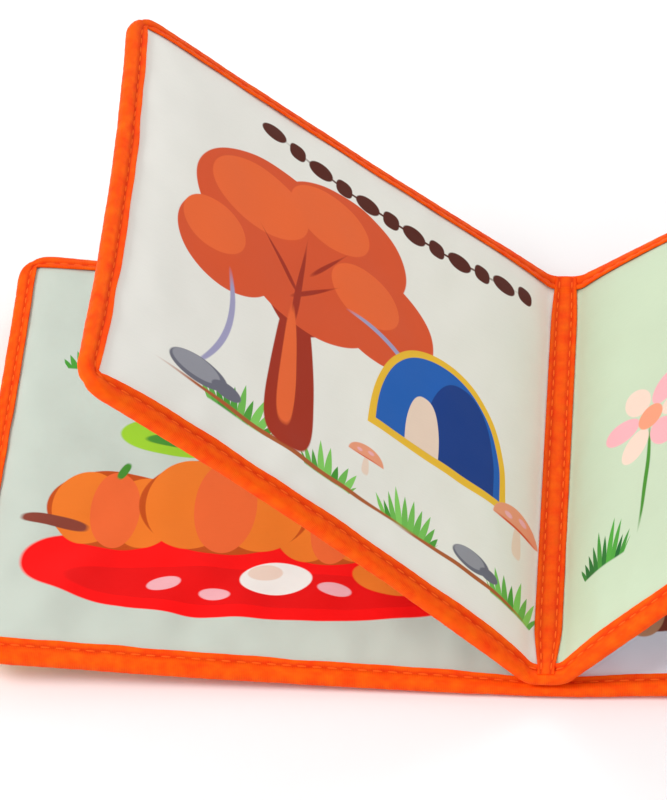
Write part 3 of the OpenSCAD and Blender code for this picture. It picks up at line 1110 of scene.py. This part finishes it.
@dataclass
class Binding:
    """Tape folded round the edges of a sheet, and the stitches through it."""

    name: str
    stations: list[Station]
    closed: bool
    wardrobe: Wardrobe

    def rim(self) -> list[float]:
        """Running length at each station."""
        return lengths([s.leaf.point(s.u, s.v, Face.TOP, 0.0) for s in self.stations])

    def build(self) -> bpy.types.Object:
        """Builds the tape as one strip folded over the edge."""
        across, along = tape_lines(), self.rim()
        bm = index_block(len(self.stations) - 1, len(across) - 1)
        last = len(self.stations) - 1
        if self.closed:
            ends = [f for f in bm.faces if len({round(v.co.x) for v in f.verts} | {-1}) == 2
                    and round(f.verts[0].co.x) in (0, last)]
            bmesh.ops.delete(bm, geom=ends, context="FACES_ONLY")
        lay_out(
            bm,
            lambda i, j: (along[i], across[j]),
            lambda i, j, k: tape_point(self.stations[i % last if self.closed else i], across[j], k,
                                       along[i % last if self.closed else i]),
            lambda _i, _j, _k: 0,
            # The tape's painted shade beside its row of stitches
            lambda _i, j: painted_groove_shade(abs(across[j]) - TAPE.fold_arc, TAPE.seam_in),
        )
        if self.closed:
            bmesh.ops.remove_doubles(bm, verts=bm.verts, dist=0.01 * MM)
        return finished(bm, self.name, [self.wardrobe.tape])

    def stitches(self, name: str) -> bpy.types.Object:
        """Builds the stitches on both faces of the tape."""
        bm = bmesh.new()
        bm.loops.layers.uv.new("flat")
        count = 0
        for face in Face:
            depth, share = -TAPE.outside + 0.2, TAPE.seam_in / TAPE.width
            places = [
                s.leaf.point(s.u + s.in_u * s.lip * share, s.v + s.in_v * s.lip * share, face, depth)
                for s in self.stations
            ]
            count += seam_threads(bm, places)
        for face in bm.faces:
            face.smooth = True
        LOG.info("%s: %d stitches", name, count)
        return finished(bm, name, [self.wardrobe.thread])


@dataclass
class FlatTape:
    """A straight tape along the spine with two rows of stitches."""

    name: str
    half_width: float
    half_length: float
    surface: Callable[[float, float, float], Vector]
    wardrobe: Wardrobe
    row: float = 1.8
    groove: float = 0.28
    groove_width: float = 0.45
    ripple: float = 0.08
    drift: float = 0.12

    def build(self) -> bpy.types.Object:
        """Builds the tape with a groove under each row of stitches."""
        w = self.half_width
        groove = [self.row + 0.3, self.row, self.row - 0.3]
        side = [w, w - TAPE.lip_round, (w + self.row) / 2, *groove, self.row / 2]
        across = [-x for x in side] + [0.0] + side[::-1]
        along = spaced(-self.half_length, self.half_length, 1.0)
        bm = index_block(len(across) - 1, len(along) - 1)

        def place(i: int, j: int, layer: int) -> Vector:
            """A point on the tape's lower or upper side."""
            x, y = across[i], along[j]
            off_row = abs(x) - self.row
            dip = self.groove * math.exp(-((off_row / self.groove_width) ** 2))
            lip = TAPE.lip_thin if abs(x) >= w - 0.01 else 0.0
            wave = self.ripple * math.sin(2 * math.pi * y / TAPE.stitch_pitch) * min(1.0, abs(off_row))
            drift = self.drift * noise.noise(Vector((x / 3.0, y / 9.0, 3.7)))
            return self.surface(x, y, layer * (TAPE.thickness - dip - lip) + wave + drift)

        lay_out(bm, lambda i, j: (along[j], across[i]), place, lambda _i, _j, _k: 0,
                # The tape's painted shade beside both rows of stitches
                lambda i, _j: painted_groove_shade(abs(across[i]), self.row))
        return finished(bm, self.name, [self.wardrobe.tape])

    def stitches(self, name: str, lift: float) -> bpy.types.Object:
        """Builds the two rows of stitches at a height above the tape's lower side."""
        bm = bmesh.new()
        bm.loops.layers.uv.new("flat")
        along = spaced(-self.half_length, self.half_length, 1.0)
        for side in (-1, 1):
            seam_threads(bm, [self.surface(side * self.row, y, lift) for y in along])
        for face in bm.faces:
            face.smooth = True
        return finished(bm, name, [self.wardrobe.thread])


@dataclass
class InnerSpread:
    """The two leaves that stand open in a V, their binding and the tape in their gutter."""

    wardrobe: Wardrobe
    foot_x: float = 4.4
    foot_z: float = 6.3
    round_off: float = 2.4
    width: float = 150.0
    left: Leaf = field(init=False)
    right: Leaf = field(init=False)

    def __post_init__(self) -> None:
        """Sets up the two leaves."""
        shared = {"foot_x": self.foot_x, "foot_z": self.foot_z, "width": self.width, "on_floor": False,
                  "round_off": self.round_off}
        self.left = Leaf(side=-1, rise=43.4, twist=3.5, bend=2.0, crease=1.1, seed=2.5, splay=3.7, waist=2.4,
                         **(shared | {"width": self.width + 1.0}))
        self.right = Leaf(side=1, rise=40.6, twist=10.4, bend=2.0, crease=1.2, seed=31.0, **shared)

    def gutter_surface(self, x: float, y: float, lift: float) -> Vector:
        """A point over the gutter's upper side, where the ribbon runs on over the tape at both ends."""
        leaf = self.left if x < 0 else self.right
        lip = leaf.height / 2 - leaf.lip(0.0)
        over = min(max((abs(y) - lip + 1.5) / 2.0, 0.0), 1.0)
        end = min(max((abs(y) - lip + 14.0) / 18.0, 0.0), 1.0)
        narrow = (0.4 if y < 0 else 0.15) * end * end * (3 - 2 * end)
        u = leaf.gutter_u(y) + abs(x) * (1 - narrow)
        return leaf.point(u, y, Face.TOP, -TAPE.gap - lift - over * TAPE.outside)

    def under_surface(self, x: float, y: float, lift: float) -> Vector:
        """A point over the gutter's lower side, x being the distance from its middle."""
        leaf = self.left if x < 0 else self.right
        u = leaf.gutter_u(y) + abs(x)
        return leaf.point(u, y, Face.UNDER, -TAPE.gap - lift)

    def build(self) -> list[bpy.types.Object]:
        cloths = self.wardrobe.cloths
        slots = [cloths[f"{name}_cloth"] for name in ("cream", "pale_green", "under", "under")]
        pages = PaddedSheet("inner_pages", {-1: self.left, 1: self.right}, slots).build()
        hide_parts("left_leaf_top_cloth", "left_leaf_under_cloth", "left_leaf_wadding",
                    "right_leaf_top_cloth", "right_leaf_under_cloth", "right_leaf_wadding", "inner_spine_web")
        loop = outline(self.right) + outline(self.left)[::-1][1:]
        binding = Binding("inner_binding", loop, True, self.wardrobe)
        tape = binding.build()
        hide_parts("left_leaf_binding", "right_leaf_binding", "inner_end_folds")
        threads = binding.stitches("inner_binding_stitches")
        half = self.left.height / 2
        gutter = FlatTape("gutter_ribbon", 3.9, half - 0.6, self.gutter_surface, self.wardrobe, 2.1)
        ribbon = gutter.build()
        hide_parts("gutter_tape")
        rows = gutter.stitches("gutter_thread", TAPE.thickness - 0.2)
        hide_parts("gutter_stitches")
        reach = half - TAPE.width + 1.2
        below = FlatTape("under_ribbon", 4.2, reach, self.under_surface, self.wardrobe, 2.2).build()
        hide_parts("under_tape")
        made = [pages, tape, threads, ribbon, rows, below]
        for piece in made:
            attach(piece, Body.SPINE.value)
        return made


@dataclass
class CoverHalf:
    """One half of the cover, from the middle of the spine to its free edge."""

    wardrobe: Wardrobe
    body: Body
    side: int
    inside: str
    width: float = 150.0
    foot_x: float = 6.35
    mid_z: float = 2.05
    hinge_from: float = 3.6
    hinge_to: float = 9.0

    def leaf(self) -> Leaf:
        """The leaf of this half."""
        return Leaf(side=self.side, foot_x=self.foot_x, foot_z=self.mid_z, rise=1.2, twist=0.0, bend=-5.0,
                    width=self.width, on_floor=True, round_off=1.0, crease=2.4, seed=50.0 + 9 * self.side,
                    lip_foot=-1.3, waist=0.8, edge_half=1.25)

    def crossing(self, piece: bpy.types.Object) -> None:
        """Bakes a piece's placement into its mesh. The hinge's ends are worked out, but nothing uses them."""
        start = (self.side * self.hinge_from * MM, 0.0, 4.1 * MM)
        end = (self.side * self.hinge_to * MM, 0.0, 4.1 * MM)
        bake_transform(piece)

    def build(self) -> list[bpy.types.Object]:
        leaf, name, cloths = self.leaf(), self.body.value, self.wardrobe.cloths
        slots = [cloths[self.inside], cloths["outside_cloth"]]
        pages = PaddedSheet(f"{name}_pages", {self.side: leaf}, slots).build()
        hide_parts(f"{name}_inside_cloth", f"{name}_outside_cloth", f"{name}_wadding",
                    "cover_spine_web")
        binding = Binding(f"{name}_edge", outline(leaf), False, self.wardrobe)
        tape = binding.build()
        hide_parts(f"{name}_binding", "cover_end_folds")
        threads = binding.stitches(f"{name}_stitches")
        made = [pages, tape, threads]
        for piece in made:
            self.crossing(piece)
        return made


@dataclass
class SpineTapes:
    """The tapes along the cover's spine, outside and in its gutter."""

    wardrobe: Wardrobe
    half_width: float = 5.9
    half_length: float = 70.7
    row: float = 4.4
    top_z: float = 3.4

    def build(self) -> list[bpy.types.Object]:
        """Builds the two tapes."""
        def under(x: float, y: float, lift: float) -> Vector:
            """A point on the tape under the spine."""
            return Vector((x, y, max(0.0, TAPE.thickness - lift))) * MM

        def over(x: float, y: float, lift: float) -> Vector:
            """A point on the tape in the cover's gutter."""
            return Vector((x, y, self.top_z + lift)) * MM

        size = (self.half_width, self.half_length)
        outside = FlatTape("spine_ribbon", *size, under, self.wardrobe, self.row).build()
        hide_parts("spine_tape")
        inside = FlatTape("cover_gutter_ribbon", *size, over, self.wardrobe, self.row).build()
        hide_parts("cover_gutter_tape")
        for piece in (outside, inside):
            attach(piece, Body.SPINE.value)
        return [outside, inside]


@dataclass(frozen=True)
class Studio:
    """The camera, the floor and the lights.

    The camera's place is in millimetres and its angles are in radians, as fitted to the photograph's
    edges: yaw turns it from +Y, tilt looks down and roll turns the picture.
    """

    place: tuple[float, float, float] = (43.13, -873.99, 877.67)
    yaw: float = 0.1176
    tilt: float = 0.7653
    roll: float = -0.0665
    focal_px: float = 4496.3
    long_side_px: float = 800.0
    sensor_mm: float = 36.0
    # Name, place in metres, size in metres and power in watts
    lamps: tuple[tuple[str, tuple[float, float, float], float, float], ...] = (
        ("key", (-1.1, -0.45, 1.15), 0.6, 15.0),
        ("fill", (1.2, -0.8, 1.0), 1.2, 4.0),
        ("back", (0.3, 1.3, 1.1), 1.0, 5.5),
    )
    sky: float = 0.58
    floor_tone: float = 0.97
    floor_drop: float = 0.0002

    def camera(self) -> bpy.types.Object:
        """Adds the camera and makes it the scene's own."""
        data = bpy.data.cameras.new("camera")
        data.sensor_width = self.sensor_mm
        data.lens = self.focal_px * self.sensor_mm / self.long_side_px
        data.clip_start, data.clip_end = 0.05, 50.0
        ahead = Vector((-math.sin(self.yaw) * math.cos(self.tilt), math.cos(self.yaw) * math.cos(self.tilt),
                        -math.sin(self.tilt)))
        level = Vector((math.cos(self.yaw), math.sin(self.yaw), 0.0))
        upright = level.cross(ahead)
        right = math.cos(self.roll) * level + math.sin(self.roll) * upright
        up = -math.sin(self.roll) * level + math.cos(self.roll) * upright
        camera = bpy.data.objects.new("camera", data)
        turn = Matrix((right, up, -ahead)).transposed().to_4x4()
        camera.matrix_world = Matrix.Translation(Vector(self.place) * MM) @ turn
        bpy.context.scene.collection.objects.link(camera)
        bpy.context.scene.camera = camera
        return camera

    def floor(self) -> None:
        """Adds a wide pale floor just under the book."""
        bm = bmesh.new()
        bmesh.ops.create_grid(bm, x_segments=1, y_segments=1, size=6.0)
        bmesh.ops.translate(bm, vec=(0, 0, -self.floor_drop), verts=bm.verts)
        paint = bpy.data.materials.new("pale_floor")
        paint.use_nodes = True
        shader = paint.node_tree.nodes["Principled BSDF"]
        shader.inputs["Base Color"].default_value = (*[self.floor_tone] * 3, 1.0)
        shader.inputs["Roughness"].default_value = 0.9
        shader.inputs["Specular IOR Level"].default_value = 0.1
        finished(bm, "floor", [paint])

    def light(self, name: str, place: tuple[float, float, float], size: float, power: float) -> None:
        """Adds a square soft light that faces the book."""
        data = bpy.data.lights.new(name, "AREA")
        data.size, data.energy = size, power
        lamp = bpy.data.objects.new(name, data)
        lamp.location = place
        lamp.rotation_euler = (Vector((0, 0, 0.03)) - Vector(place)).to_track_quat("-Z", "Y").to_euler()
        bpy.context.scene.collection.objects.link(lamp)

    def build(self) -> None:
        """Sets up the whole studio."""
        self.camera()
        self.floor()
        for name, place, size, power in self.lamps:
            self.light(name, place, size, power)
        world = bpy.data.worlds.new("studio")
        world.use_nodes = True
        sky = world.node_tree.nodes["Background"].inputs
        sky["Color"].default_value = (1.0, 1.0, 1.0, 1.0)
        sky["Strength"].default_value = self.sky
        bpy.context.scene.world = world
        bpy.context.scene.view_settings.view_transform = "Standard"


def main() -> None:
    """Builds the book piece by piece, then the studio."""
    logging.basicConfig(level=logging.INFO, format="%(name)s: %(message)s")
    wardrobe = Wardrobe()
    parts = [
        InnerSpread(wardrobe),
        CoverHalf(wardrobe, Body.FRONT, -1, "grey_green_cloth"),
        CoverHalf(wardrobe, Body.BACK, 1, "lilac_cloth"),
        SpineTapes(wardrobe),
    ]
    for part in parts:
        for piece in part.build():
            LOG.info("%s: %d faces", piece.name, len(piece.data.polygons))
    Studio().build()


if __name__ == "__main__":
    main()
